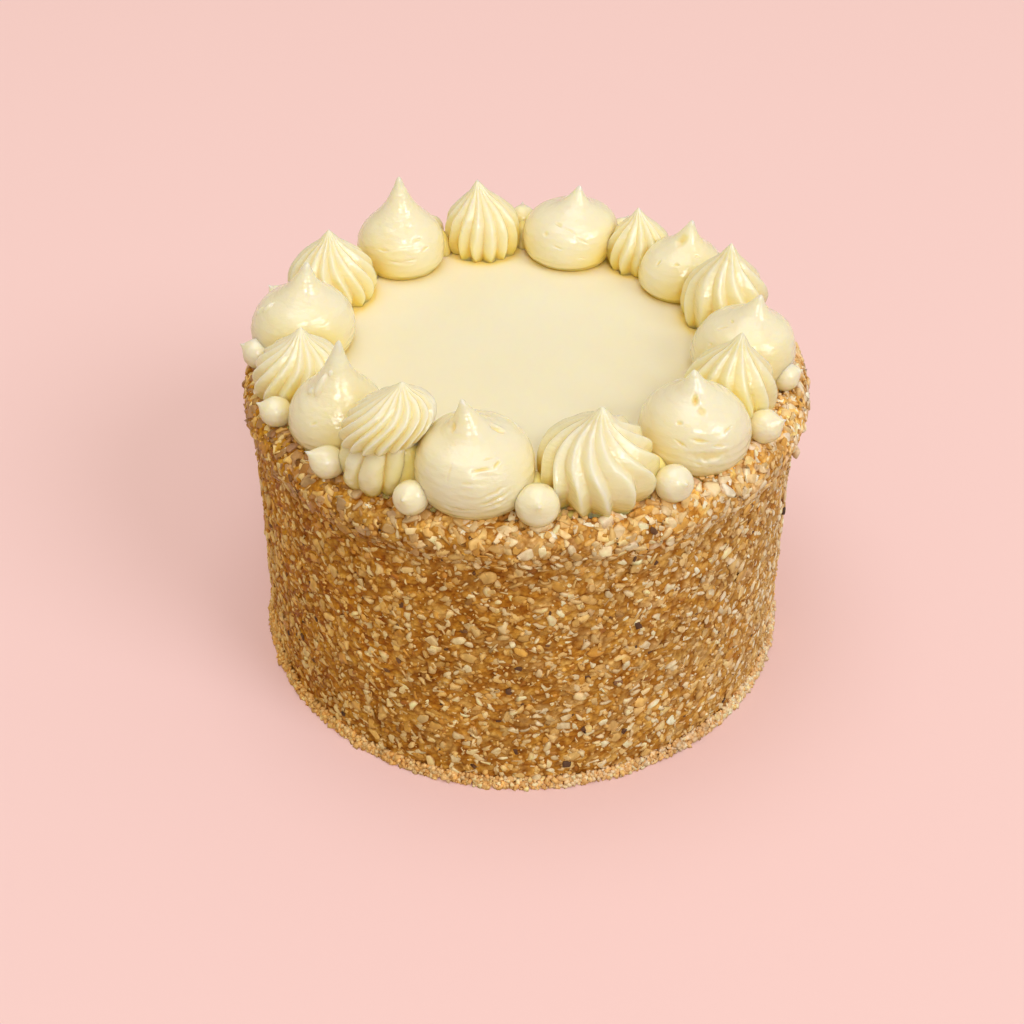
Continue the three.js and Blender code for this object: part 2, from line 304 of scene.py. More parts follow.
wall = {
    "line": [(76.8, 0.0), (75.5, 36.0), (74.2, 73.0), (75.0, 79.0), (75.7, 82.5), (74.6, 86.6),
             (71.6, 89.0)],
    "underside": 76.0,  # radius of the flat foot
    "seatRadius": 70.3,
    "seatHeight": 85.0,
    "seatRim": 88.8,
    "bareFoot": 0.5,  # no lumps under this height
    "steps": 60,
    "cuts": 8,  # extra cuts in each step
    "rings": 150,
    "lumps": [(4.2, 0.55), (2.0, 0.45)],  # size of the pieces pressed together, and how far they stand out
    "least": 0.4,  # share of that by which even the lowest stands out
    "level": 0.5,  # share of it that lies under the line
    "warp": 1.3,  # how crooked their outlines are, and how closely they wind
    "warpSize": 3,
    "reach": 75,  # where the +X side is reached
    "stout": [(0, 0.5), (66, 0.9), (78, 2.0), (84, 2.1), (87, 0.9), (89, 0.2)],  # height, extra at +X
    "stoutFocus": 4,  # how closely that keeps to the +X side
    "seam": 0.17,  # how wide the seams between them are, as a share of the size
    # paste tone in the seams between the lumps: painted shade
    "seamShade": (0.62, 0.46, 0.25),
    "scatter": 37,  # gives neighbours unlike tones
    "tint": (1.03, 1.10, 1.22),
    "rimLight": (0.15, 0.22, 0.44),  # painted light: how much lighter the paste is at the top edge, which faces the lamps above
    "rimLightSlope": 0.2,  # and how much more towards +X, the side the key lamp lights
    "rimFrom": 76,  # where that begins, and the height that it takes
    "rimOver": 8,
    "patchy": 0.16,  # how much darker or lighter whole patches are, and their size
    "patchSize": 13,
    "patchSeed": 5,
    "sideLight": (0.09, 0.22, 0.78),  # painted light: how much more red, green and blue the coat gets towards +X, the lit side
    "pasteSideLight": 1.5,  # how much of that painted light the paste takes
    "tones": [(0.80, 0.42, 0.07), (0.90, 0.57, 0.19), (0.68, 0.30, 0.035), (0.54, 0.21, 0.018),
              (0.84, 0.47, 0.10), (0.66, 0.36, 0.11), (0.88, 0.54, 0.18)],
}


def stoutAt(points):
    # the coat is thicker on the +X side, most of all at the top edge
    heights, thicker = zip(*wall["stout"])
    facing = np.clip(points[:, 0] / wall["reach"], 0, 1)**wall["stoutFocus"]
    return facing * np.interp(points[:, 2], heights, thicker)


def pasteAt(points):
    # how far the nut paste stands out at places on the wall, and its tone there with painted shade in the
    # seams: lumps pressed together
    crooked = [Vector(p) + wall["warp"] * noise.noise_vector(Vector(p) / wall["warpSize"]) for p in points]
    tones = np.array(wall["tones"])
    seam = np.array(wall["seamShade"])
    height = stoutAt(points)
    tone = np.ones((len(points), 3))
    for size, depth in wall["lumps"]:
        found = [noise.voronoi(place / size) for place in crooked]
        full = 1 - np.exp(-np.array([apart[1] - apart[0] for apart, _ in found]) / wall["seam"])
        own = np.array([noise.cell(middles[0] * wall["scatter"]) for _, middles in found]) * 0.5 + 0.5
        pick = np.clip((own * len(tones)).astype(int), 0, len(tones) - 1)
        height += depth * (full * (wall["least"] + own) - wall["level"])
        # painted shade darkens the seams between lumps
        tone *= np.sqrt(tones[pick]) * (seam + (1 - seam) * full[:, None])
    return height, tone


def pasteHeight(points):
    return pasteAt(points)[0]


def tintAndSideLight(points, share):
    # the coat's own tint and random patches, with painted light that grows towards +X
    side = wall["tint"] + share * np.outer(points[:, 0] / wall["line"][0][0], wall["sideLight"])
    return side * (1 + wall["patchy"] * noiseAt(points, wall["patchSize"], wall["patchSeed"]))[:, None]


def wallPlaces(line, count, rng):
    # places spread evenly over the wall by the golden angle: middle, outward and up-the-wall directions
    radius, height = line[:, 0], line[:, 1]
    along = np.gradient(line, axis=0)
    along /= np.linalg.norm(along, axis=1)[:, None]
    area = np.concatenate([[0], np.cumsum(0.5 * (radius[1:] + radius[:-1])
                                          * np.linalg.norm(np.diff(line, axis=0), axis=1))])
    stray = bitLook["strayUp"]
    share = (np.arange(count) + 0.5 + rng.uniform(-stray, stray, count)) / count
    at = np.clip(share, 0, 1) * area[-1]
    reach = np.interp(at, area, radius)
    level = np.interp(at, area, height)
    up = np.column_stack([np.interp(at, area, along[:, i]) for i in (0, 1)])
    spacing = math.sqrt(2 * math.pi * area[-1] / count)
    turn = np.arange(count) * goldenAngle + rng.normal(0, bitLook["strayRound"], count) * spacing / reach
    out = np.column_stack([np.cos(turn), np.sin(turn), np.zeros(count)])
    middle = out * reach[:, None]
    middle[:, 2] = level
    climb = out * up[:, :1]
    climb[:, 2] = up[:, 1]
    side = np.column_stack([-np.sin(turn), np.cos(turn), np.zeros(count)])
    return middle, np.cross(side, climb), climb


def makeNutCore():
    side = smoothLine(wall["line"], wall["rings"])
    outline = [(0, 0), (wall["underside"], 0), *side, (wall["seatRadius"], wall["seatRim"]),
               (wall["seatRadius"], wall["seatHeight"]), (0, wall["seatHeight"])]
    shell = spinShell(outline, wall["steps"], wall["cuts"])
    points = pointsOf(shell)
    normals = np.array([vert.normal for vert in shell.verts])
    outside = np.hypot(points[:, 0], points[:, 1]) > wall["seatRadius"] + 0.1
    coat = outside & (points[:, 2] > wall["bareFoot"])
    height, tone = pasteAt(points)
    movePoints(shell, points + normals * (height * coat)[:, None])
    tone *= tintAndSideLight(points, wall["pasteSideLight"])
    # painted light on the coat's top edge, more towards +X
    rim = np.clip((points[:, 2] - wall["rimFrom"]) / wall["rimOver"], 0, 1)
    tone *= 1 + rim[:, None] * (wall["rimLight"] + wall["rimLightSlope"] * points[:, :1] / wall["reach"])
    tone = np.column_stack([np.clip(tone, 0, 1), np.ones(len(tone))])
    paint = crumbFinish("nutPaste")
    return finishPiece("nutCore", shell, paint, ["cake_body"], marks={"tone": tone})


def trimmedCube(rng, cuts, soft):
    # an angular chip: a cube with a few corners sliced off and its edges worn
    chip = bmesh.new()
    bmesh.ops.create_cube(chip, size=1)
    for vert in chip.verts:
        vert.co += Vector(rng.uniform(-0.14, 0.14, 3))
    for _ in range(cuts):
        slope = Vector(rng.normal(0, 1, 3) * (1, 1, 0.5)).normalized()
        middle = slope * rng.uniform(0.26, 0.46)
        cut = bmesh.ops.bisect_plane(chip, geom=chip.verts[:] + chip.edges[:] + chip.faces[:],
                                     plane_co=middle, plane_no=slope, clear_outer=True)
        rim = [item for item in cut["geom_cut"] if isinstance(item, bmesh.types.BMEdge)]
        if rim:
            bmesh.ops.edgeloop_fill(chip, edges=rim)
    bmesh.ops.remove_doubles(chip, verts=chip.verts, dist=0.06)
    if soft:
        bmesh.ops.bevel(chip, geom=chip.edges[:], offset=soft, affect="EDGES", segments=1, profile=0.5,
                        material=-1)
        bmesh.ops.remove_doubles(chip, verts=chip.verts, dist=0.02)
    return chip


def lobedGrain(rng):
    # a rounded fragment with two or three lobes
    grain = bmesh.new()
    bmesh.ops.create_uvsphere(grain, u_segments=8, v_segments=5, radius=0.5)
    two, three = rng.uniform(0.0, 0.2), rng.uniform(0.0, 0.34)
    start = rng.uniform(0, 2 * math.pi)
    narrow = rng.uniform(0, 0.6)
    for vert in grain.verts:
        turn = math.atan2(vert.co.y, vert.co.x)
        lobes = two * math.cos(2 * turn) + three * math.cos(3 * turn + start)
        vert.co.xy *= 1 + lobes + rng.uniform(-0.07, 0.07)
        vert.co.y *= 1 - narrow * vert.co.x
        vert.co.z += 0.25 * vert.co.x * rng.uniform(-0.5, 0.5)
    return grain


def softFlake(rng):
    # a thin shaving with an uneven outline
    flake = bmesh.new()
    sectors = 9
    bmesh.ops.create_uvsphere(flake, u_segments=sectors, v_segments=4, radius=0.5)
    reach = rng.uniform(0.62, 1.15, sectors)
    bow = rng.uniform(-0.5, 0.5)
    for vert in flake.verts:
        sector = int(round(math.atan2(vert.co.y, vert.co.x) / (2 * math.pi) * sectors)) % sectors
        vert.co.xy *= reach[sector]
        vert.co.z += bow * vert.co.x**2 + rng.uniform(-0.05, 0.05)
    return flake


def curledFlake(rng):
    flake = bmesh.new()
    bmesh.ops.create_grid(flake, x_segments=4, y_segments=1, size=0.5)
    curl = rng.uniform(0.8, 1.8)
    for vert in flake.verts:
        vert.co.y += rng.uniform(-0.15, 0.15)
        vert.co.z = curl * (0.25 - vert.co.x**2) + rng.uniform(-0.04, 0.04)
    bmesh.ops.recalc_face_normals(flake, faces=flake.faces)
    bmesh.ops.solidify(flake, geom=flake.faces[:], thickness=0.2)
    return flake


def taperedSliver(rng):
    sliver = bmesh.new()
    bmesh.ops.create_cone(sliver, cap_ends=True, segments=6, radius1=0.5, radius2=0.26, depth=1)
    bmesh.ops.rotate(sliver, verts=sliver.verts, matrix=Matrix.Rotation(math.pi / 2, 3, "Y"))
    bend = rng.uniform(-0.7, 0.7)
    for vert in sliver.verts:
        vert.co.y += bend * vert.co.x**2
        vert.co += Vector(rng.uniform(-0.08, 0.08, 3))
    return sliver


def roundDot(rng):
    dot = bmesh.new()
    bmesh.ops.create_icosphere(dot, subdivisions=1, radius=0.5)
    for vert in dot.verts:
        vert.co *= rng.uniform(0.74, 1.2)
    return dot


ivory = [(0.90, 0.66, 0.34), (0.95, 0.75, 0.45), (0.84, 0.55, 0.22), (0.92, 0.70, 0.39), (0.85, 0.53, 0.18)]
amber = [(0.74, 0.39, 0.08), (0.84, 0.52, 0.17), (0.66, 0.30, 0.045), (0.78, 0.47, 0.16)]
# brown tones: partly darker nut skin, partly painted shade among the pieces
brown = [(0.46, 0.17, 0.02), (0.54, 0.23, 0.04), (0.38, 0.13, 0.015), (0.48, 0.25, 0.07)]

# near-black bits: partly toasted skins, partly painted shade of dark holes between the nuts
darkSkinsAndHoles = [(0.14, 0.06, 0.025), (0.22, 0.10, 0.04), (0.09, 0.045, 0.025)]
soakAndShadeTone = np.array((0.50, 0.205, 0.024))  # the lower edges of each bit take up this dark tone: partly the paste they sit in, partly painted shade

# Lengths are millimetres; wide and thick are shares of the length, and lift is a share of the thickness.
nutKinds = {
    "amberFlakes": dict(make=softFlake, count=480, long=(2.8, 8.0), wide=(0.45, 0.9), thick=(0.12, 0.18),
                        lift=(-0.35, 0.1), tip=7, seed=11, tones=amber),
    "brownFlakes": dict(make=softFlake, count=420, long=(1.6, 4.4), wide=(0.4, 0.9), thick=(0.16, 0.26),
                        lift=(-0.3, 0.1), tip=11, seed=17, tones=brown),
    "curledSkins": dict(make=curledFlake, count=1700, long=(1.6, 4.6), wide=(0.2, 0.45), thick=(0.4, 0.65),
                        lift=(-0.4, -0.1), tip=20, seed=18, soakedAndShaded=0.55, tones=ivory + amber),
    "nutChips": dict(make=lambda rng: trimmedCube(rng, 4, 0.09), count=1500, long=(1.5, 4.4),
                     wide=(0.5, 0.95), thick=(0.24, 0.38), lift=(-0.35, -0.05), tip=9, seed=12,
                     tones=ivory + amber[:2]),
    "nutKernels": dict(make=lobedGrain, count=2600, long=(1.4, 4.6), wide=(0.42, 0.8), thick=(0.28, 0.44),
                       lift=(-0.3, 0.0), tip=10, seed=13, tones=ivory),
    "nutSlivers": dict(make=taperedSliver, count=1100, long=(1.5, 4.0), wide=(0.2, 0.36), thick=(0.2, 0.3),
                       lift=(-0.25, 0.2), tip=9, seed=14, tones=ivory + amber),
    "nutCrumbs": dict(make=roundDot, count=5200, long=(1.0, 2.8), wide=(0.6, 0.95), thick=(0.4, 0.62),
                      lift=(-0.4, 0.0), tip=16, seed=19, tones=ivory[2:] + amber + amber + brown[1:2]),
    "nutDots": dict(make=roundDot, count=3600, long=(0.5, 1.3), wide=(0.7, 1.0), thick=(0.6, 0.9),
                    lift=(-0.2, 0.2), tip=30, seed=15, tones=ivory + amber),
    # these near-black bits are partly toasted skins, partly painted shade of dark holes
    "nutDarkBits": dict(make=lambda rng: trimmedCube(rng, 3, 0.1), count=260, long=(0.8, 2.9),
                        wide=(0.5, 0.9), thick=(0.3, 0.45), lift=(-0.35, 0.0), tip=10, seed=16,
                        soakedAndShaded=0.0, tones=darkSkinsAndHoles),
}

bitLook = {
    "shapes": 6,  # unlike shapes of each kind
    "strayUp": 3,  # how far bits stray from even places, up the wall and round it
    "strayRound": 0.5,
    "wallSteps": 200,  # points along the whole wall, and along a narrow band
    "bandSteps": 40,
    "lengths": (1.6, 2.6),  # most bits are short
    "tipSpread": 0.6,
    "mixing": 0.5,  # how far the tones of a kind run into each other
    "toneSpread": 0.09,
    "shadeSpread": 0.10,
    "pale": 0.7,  # how much of the wall's painted light towards +X a bit takes
    "sideShadeReach": 60,  # how far towards -X a kind with painted side shade goes on darkening
    "soakedAndShaded": 0.75,  # how far a bit takes up that tone, paste and painted shade, at its lower edges
    "soakTop": 0.42,  # from this height of a bit down, over this height
    "soakOver": 0.6,
}


def shapeArrays(shape):
    bmesh.ops.triangulate(shape, faces=shape.faces)
    bmesh.ops.recalc_face_normals(shape, faces=shape.faces)
    shape.verts.index_update()
    corners = np.array([vert.co for vert in shape.verts])
    faces = np.array([[vert.index for vert in face.verts] for face in shape.faces])
    shape.free()
    return corners, faces


def joinBits(name, kind, places, rng, paint):
    # copies of a few shapes, each turned, tipped and toned on its own, joined into one mesh
    middle, out, climb = places
    count = len(middle)
    shapes = [shapeArrays(kind["make"](rng)) for _ in range(bitLook["shapes"])]
    side = np.cross(climb, out)
    spin = rng.uniform(0, 2 * math.pi, count)[:, None]
    tip = np.radians(kind["tip"]) * rng.normal(0, bitLook["tipSpread"], (count, 2))
    ahead = np.cos(spin) * side + np.sin(spin) * climb
    ahead += tip[:, :1] * out
    ahead /= np.linalg.norm(ahead, axis=1)[:, None]
    face = out + tip[:, 1:] * np.cross(out, ahead)
    face -= (face * ahead).sum(1)[:, None] * ahead
    face /= np.linalg.norm(face, axis=1)[:, None]
    across = np.cross(face, ahead)
    short, long = kind["long"]
    length = short + (long - short) * rng.beta(*bitLook["lengths"], count)
    width = length * rng.uniform(*kind["wide"], count)
    depth = length * rng.uniform(*kind["thick"], count)
    lift = depth * rng.uniform(*kind["lift"], count)
    turned = np.stack([ahead * length[:, None], across * width[:, None], face * depth[:, None]], axis=1)
    middle = middle + out * lift[:, None]
    tones = np.array(kind["tones"])
    pick = rng.integers(0, len(tones), count)
    other = rng.integers(0, len(tones), count)
    mixing = rng.uniform(0, bitLook["mixing"], count)[:, None]
    tone = tones[pick] * (1 - mixing) + tones[other] * mixing
    tone = tone * rng.normal(1, bitLook["toneSpread"], count)[:, None] * tintAndSideLight(middle, bitLook["pale"])
    # painted shade: kinds that have it darken towards -X, away from the key lamp
    shaded = np.clip(middle[:, 0] / bitLook["sideShadeReach"], -1, 0)
    tone *= 1 + np.outer(shaded, kind.get("sideShade", (0, 0, 0)))
    which = rng.integers(0, len(shapes), count)
    points, faces, colours, used = [], [], [], 0
    for index, (corners, sides) in enumerate(shapes):
        mine = np.flatnonzero(which == index)
        placed = np.einsum("vi,nij->nvj", corners, turned[mine]) + middle[mine][:, None]
        first = used + np.arange(len(mine)) * len(corners)
        points.append(placed.reshape(-1, 3))
        faces.append((sides[None] + first[:, None, None]).reshape(-1, 3))
        shade = rng.normal(1, bitLook["shadeSpread"], (len(mine), len(corners), 1))
        # lower parts of each bit blend into the dark tone: paste and painted shade
        sunk = np.clip((bitLook["soakTop"] - corners[:, 2]) / bitLook["soakOver"], 0, 1)
        sunk = (kind.get("soakedAndShaded", bitLook["soakedAndShaded"]) * eased(sunk))[None, :, None]
        soakedAndShaded = (soakAndShadeTone * tintAndSideLight(middle[mine], wall["pasteSideLight"]))[:, None]
        colours.append(((tone[mine][:, None] * (1 - sunk) + soakedAndShaded * sunk) * shade).reshape(-1, 3))
        used += len(mine) * len(corners)
    mesh = meshOfTriangles(name, np.vstack(points) * mm, np.vstack(faces))
    tone = np.column_stack([np.clip(np.vstack(colours), 0, 1), np.ones(used)])
    return dressPiece(name, mesh, paint, (), {"tone": tone})


def meshOfTriangles(name, points, faces):
    points[:, 2] = np.maximum(points[:, 2], 0.0)  # nothing goes under the cake
    mesh = bpy.data.meshes.new(name)
    mesh.vertices.add(len(points))
    mesh.vertices.foreach_set("co", points.astype(np.float32).ravel())
    mesh.loops.add(faces.size)
    mesh.loops.foreach_set("vertex_index", faces.astype(np.int32).ravel())
    mesh.polygons.add(len(faces))
    mesh.polygons.foreach_set("loop_start", np.arange(0, faces.size, 3, dtype=np.int32))
    mesh.update(calc_edges=True)
    mesh.validate()
    return mesh


edgeNuts = dict(
    line=[(74.9, 78.0), (75.7, 82.5), (74.8, 86.2), (72.5, 88.5), (70.3, 89.1), (66.5, 89.0)],
    rest=stoutAt, make=lambda rng: trimmedCube(rng, 5, 0.12), count=1150, long=(1.8, 5.6), wide=(0.42, 0.85),
    thick=(0.28, 0.44), lift=(-0.45, -0.05), tip=22, seed=21, soakedAndShaded=0.5, sideShade=(0.46, 0.58, 0.6),
    tones=ivory + ivory[1:4] + amber + amber[1:2] + [(0.92, 0.69, 0.42), (0.74, 0.45, 0.22)])

underNuts = dict(  # on the flat edge, round the feet of the kisses, in darker tones as painted shade under them
    line=[(71.0, 89.2), (66.0, 89.2)],
    rest=stoutAt, make=lambda rng: trimmedCube(rng, 4, 0.1), count=430, long=(1.6, 4.0), wide=(0.5, 0.9),
    thick=(0.26, 0.4), lift=(-0.1, 0.3), tip=20, seed=24, soakedAndShaded=0.6,
    tones=amber + brown[1:2] + ivory[2:3])

footCrumbs = dict(
    line=[(78.2, 0.1), (77.6, 1.4), (76.9, 3.0)],
    rest=stoutAt, make=lambda rng: trimmedCube(rng, 1, 0), count=3400, long=(0.6, 1.7), wide=(0.7, 1.0),
    thick=(0.6, 0.9), lift=(0.0, 0.6), tip=40, seed=22, soakedAndShaded=0.4,
    tones=[(0.95, 0.56, 0.22), (0.88, 0.46, 0.14), (0.97, 0.69, 0.38)])

creamSmears = dict(  # cream caught between the nuts at the top edge
    line=[(73.6, 87.4), (72.2, 88.5), (70.6, 89.0)],
    rest=None, make=softFlake, count=60, long=(2.4, 6.4), wide=(0.2, 0.5), thick=(0.12, 0.2),
    lift=(-0.4, 0.2), tip=10, seed=23, soakedAndShaded=0.0, tones=[creamTints["pale"]])


def layBits(name, kind, paint):
    # one kind of bit, spread over the wall or along the band that it names
    rng = np.random.default_rng(kind["seed"])
    steps = bitLook["bandSteps" if "line" in kind else "wallSteps"]
    line = smoothLine(kind.get("line", wall["line"]), steps)
    middle, out, climb = wallPlaces(line, kind["count"], rng)
    rest = kind.get("rest", pasteHeight)
    if rest:
        middle += out * rest(middle)[:, None]
    piece = joinBits(name, kind, (middle, out, climb), rng, paint)
    print(name + ":", kind["count"], "bits,", len(piece.data.polygons), "triangles")


def makeNutCoat():
    core = makeNutCore()
    print("nut core:", len(core.data.polygons), "faces")
    chopped = nutFinish("choppedNut", 0.42, (700, 700, 300), 0.26)
    dark = nutFinish("darkSkinAndHoleShade", 0.55, (700, 700, 700), 0.25)
    glazed = nutFinish("glazedNut", 0.34, (600, 600, 600), 0.4)
    for name, kind in nutKinds.items():
        layBits(name, kind, dark if name == "nutDarkBits" else chopped)
    layBits("edgeNuts", edgeNuts, glazed)
    layBits("underNuts", underNuts, glazed)
    layBits("footCrumbs", footCrumbs, chopped)


# The smooth cream top

creamTop = {
    "radius": 70.0,
    "under": 85.0,
    "level": 89.0,
    "round": 0.9,
    "rings": 70,
    "steps": 36,
    "cuts": 6,
    "waves": 0.16,
    "waveSize": 26,
    "glow": 0.62,  # painted golden shade at the foot of a kiss: how strong
    "glowReach": 1.5,
    "line": 0.3,  # and how much more painted shade right at the foot
    "lineReach": 0.5,
    "rimFrom": 64,  # painted golden shade from this radius outwards, over this width
    "rimOver": 3,
}


def makeCreamTop(seats):
    edge = creamTop["radius"] - creamTop["round"]
    rings = [(radius, creamTop["level"]) for radius in np.linspace(edge, 0, creamTop["rings"])]
    outline = [(0, creamTop["under"]), (creamTop["radius"], creamTop["under"]),
               (creamTop["radius"], creamTop["level"] - creamTop["round"]), *rings]
    shell = spinShell(outline, creamTop["steps"], creamTop["cuts"])
    points = pointsOf(shell)
    top = points[:, 2] > creamTop["level"] - 0.1
    points[:, 2] += top * creamTop["waves"] * noiseAt(points, creamTop["waveSize"], 2)
    movePoints(shell, points)
    # painted golden shade at the edge and round the foot of each kiss
    shadeGold = np.clip((np.hypot(points[:, 0], points[:, 1]) - creamTop["rimFrom"]) / creamTop["rimOver"], 0, 1)
    for seat in seats:
        foot = seat["reach"] * np.array([math.cos(seat["at"]), math.sin(seat["at"])])
        apart = np.linalg.norm(points[:, :2] - foot, axis=1) - seat["line"][0][0]
        apart = np.maximum(apart, 0)
        gold = creamTop["glow"] * np.exp(-apart / creamTop["glowReach"])
        gold += creamTop["line"] * np.exp(-apart / creamTop["lineReach"])
        shadeGold = np.maximum(shadeGold, np.clip(gold, 0, 1))
    return finishPiece("creamDisc", shell, spreadCream("spreadCream"), ["cream_top"],
                       marks={"shadeGold": shadeGold})


# The ring of piped kisses

kissSetting = {
    "sunk": 0.5,  # how deep a kiss stands in the cream
    "hardness": 12,  # how suddenly its side goes flat against the next one
    "overlap": 0.6,  # how far neighbours run into each other
    "bends": {"star_kiss_1": 1.7},  # how a tip is pulled over: 2 is a curve, 1 is straight
    "firm": {"plain_kiss_1": 1.1, "plain_kiss_2": 1.3, "plain_kiss_5": 1.2},  # keeps its round form better
    "tucked": 0.97,  # share of the foot's width at the very bottom
    "least": 1,  # half-width that a kiss keeps against its neighbours
    "footGold": 0.72,  # painted golden shade at the foot: how strong, and how far up
    "footGlow": 3.4,
    "lineGold": 0.4,  # and how much more painted shade right at the foot
    "lineReach": 0.5,
    "sideGold": 0.95,  # painted golden shade where two kisses meet: how strong, and how far from there
    "sideGlow": 3.8,
    "sideTop": 0.72,  # share of the height that this fades over, and how late it starts to
    "sideLate": 1.25,
}


def readSeat(node, footShare):
    # foot, lean and size of a kiss, read from its solid
    points = solidPoints(node)
    low = points[:, 2].min()
    flat = points[points[:, 2] < low + 0.01]
    foot = flat[np.argmin(np.linalg.norm(flat - flat.mean(0), axis=1))]
    tip = points[np.argmax(points[:, 2])]
    at = math.atan2(foot[1], foot[0])
    out = np.array([math.cos(at), math.sin(at)])
    along = np.array([-out[1], out[0]])
    return {"node": node, "at": at, "reach": math.hypot(*foot[:2]), "foot": low, "tall": tip[2] - low,
            "lean": ((tip - foot)[:2] @ out, (tip - foot)[:2] @ along),
            "bend": kissSetting["bends"].get(node, 2), "firm": kissSetting["firm"].get(node, 1),
            "wide": np.linalg.norm(flat - foot, axis=1).max() / footShare}


def kissOutline(seat):
    foot = (seat["line"][0][0] * kissSetting["tucked"], -kissSetting["sunk"])
    return [(0, -kissSetting["sunk"]), foot, *seat["line"]]


def roomAt(kiss, heights):
    wide = np.interp(heights, kiss["line"][:, 1], kiss["line"][:, 0], right=0)
    return kiss["firm"] * np.maximum(wide, kissSetting["least"])


def meetingTurn(one, two, heights):
    # the angle from one kiss to where it meets the next at each height, by how wide both are there
    first, second = roomAt(one, heights), roomAt(two, heights)
    return np.mod(two["at"] - one["at"], 2 * math.pi) * first / (first + second)


def settleKiss(points, before, seat, after):
    # leans a kiss, presses it between its neighbours and puts it in its place on the cake;
    # also gives the painted golden shade near its foot and where two kisses meet
    height = np.clip(points[:, 2], 0, seat["tall"])
    pull = (height / seat["tall"])**seat["bend"]
    outward = points[:, 0] + seat["lean"][0] * pull + seat["reach"]
    sideways = points[:, 1] + seat["lean"][1] * pull
    reach = np.hypot(outward, sideways)
    turn = np.arctan2(sideways, outward)
    back = np.mod(seat["at"] - before["at"], 2 * math.pi) - meetingTurn(before, seat, height)
    limit = np.where(turn < 0, back, meetingTurn(seat, after, height))
    limit += kissSetting["overlap"] / seat["reach"]
    hard = kissSetting["hardness"]
    held = turn / (1 + np.abs(turn / limit)**hard)**(1 / hard)
    apart = (limit - np.abs(held)) * reach
    low = np.clip(kissSetting["sideLate"] - height / (kissSetting["sideTop"] * seat["tall"]), 0, 1)
    glow = kissSetting["sideGold"] * low * np.exp(-apart / kissSetting["sideGlow"])
    glow += kissSetting["footGold"] * np.exp(-height / kissSetting["footGlow"])
    glow += kissSetting["lineGold"] * np.exp(-height / kissSetting["lineReach"])
    held += seat["at"]
    placed = np.column_stack([reach * np.cos(held), reach * np.sin(held), points[:, 2] + seat["foot"]])
    return placed, np.clip(glow, 0, 1)


dentLook = {
    "radius": 10,  # of a usual kiss, to find the middle of a dent
    "border": 0.9,  # how far past a dent the mesh is cut finer, and into how many more
    "cuts": 2,
    "crooked": 0.12,  # how crooked a dent is, as a share of its length
    "crookedSize": 1.4,
    "crookedSeed": 7,
    "through": 4,  # nothing deeper than this is moved
    "lip": 0.3,  # share of the depth that is pushed up beside it, and how many half-widths away
    "lipAside": 1.5,
    "gold": 1.3,  # painted golden shade in a dent for each millimetre of depth, and at most
    "mostGold": 0.8,
}


def dentShell(shell, dents):
    # marks in a smooth kiss: turn and height of the middle, then half-length, half-width, depth and slant;
    # a depth below nought is a drip that stands out. Gives the painted golden shade in them.
    points = pointsOf(shell)
    around = np.arctan2(points[:, 1], points[:, 0])
    spots = []
    for turn, height, *_ in dents:
        miss = np.mod(around - math.radians(turn) + math.pi, 2 * math.pi) - math.pi
        spots.append(np.argmin(np.hypot(miss * dentLook["radius"], points[:, 2] - height)))
    shell.verts.ensure_lookup_table()
    faces = [np.array(shell.verts[spot].normal) for spot in spots]
    spots = points[spots]
    ends = np.array([[vert.co for vert in edge.verts] for edge in shell.edges]).mean(axis=1)
    close = np.zeros(len(ends), bool)
    for spot, (_, _, length, *_) in zip(spots, dents):
        close |= np.linalg.norm(ends - spot, axis=1) < length + dentLook["border"]
    fine = [edge for edge, wanted in zip(shell.edges, close) if wanted]
    cutFiner(shell, fine, dentLook["cuts"])
    points = pointsOf(shell)
    moved, gold = points.copy(), np.zeros(len(points))
    crooked = noiseAt(points, dentLook["crookedSize"], dentLook["crookedSeed"])
    for spot, face, (_, _, length, width, depth, slant) in zip(spots, faces, dents):
        level = np.cross((0, 0, 1), face)
        level /= np.linalg.norm(level)
        rise = np.cross(face, level)
        ahead = math.cos(math.radians(slant)) * level + math.sin(math.radians(slant)) * rise
        beside = np.cross(face, ahead)
        apart = points - spot
        near = np.abs(apart @ face) < dentLook["through"]
        bent = apart @ beside + dentLook["crooked"] * length * crooked * (depth > 0)
        far = (apart @ ahead / length)**2 + (bent / width)**2
        lip = (apart @ ahead / length)**2 + ((bent + dentLook["lipAside"] * width) / width)**2
        dent = np.exp(-far**1.5) - dentLook["lip"] * np.exp(-lip)
        push = depth * (dent if depth > 0 else np.exp(-far**3)) * near
        # painted golden shade inside each dent
        golden = np.clip(dentLook["gold"] * depth, 0, dentLook["mostGold"])
        gold = np.maximum(gold, golden * np.exp(-far) * near)
        moved -= face * push[:, None]
    return moved, gold


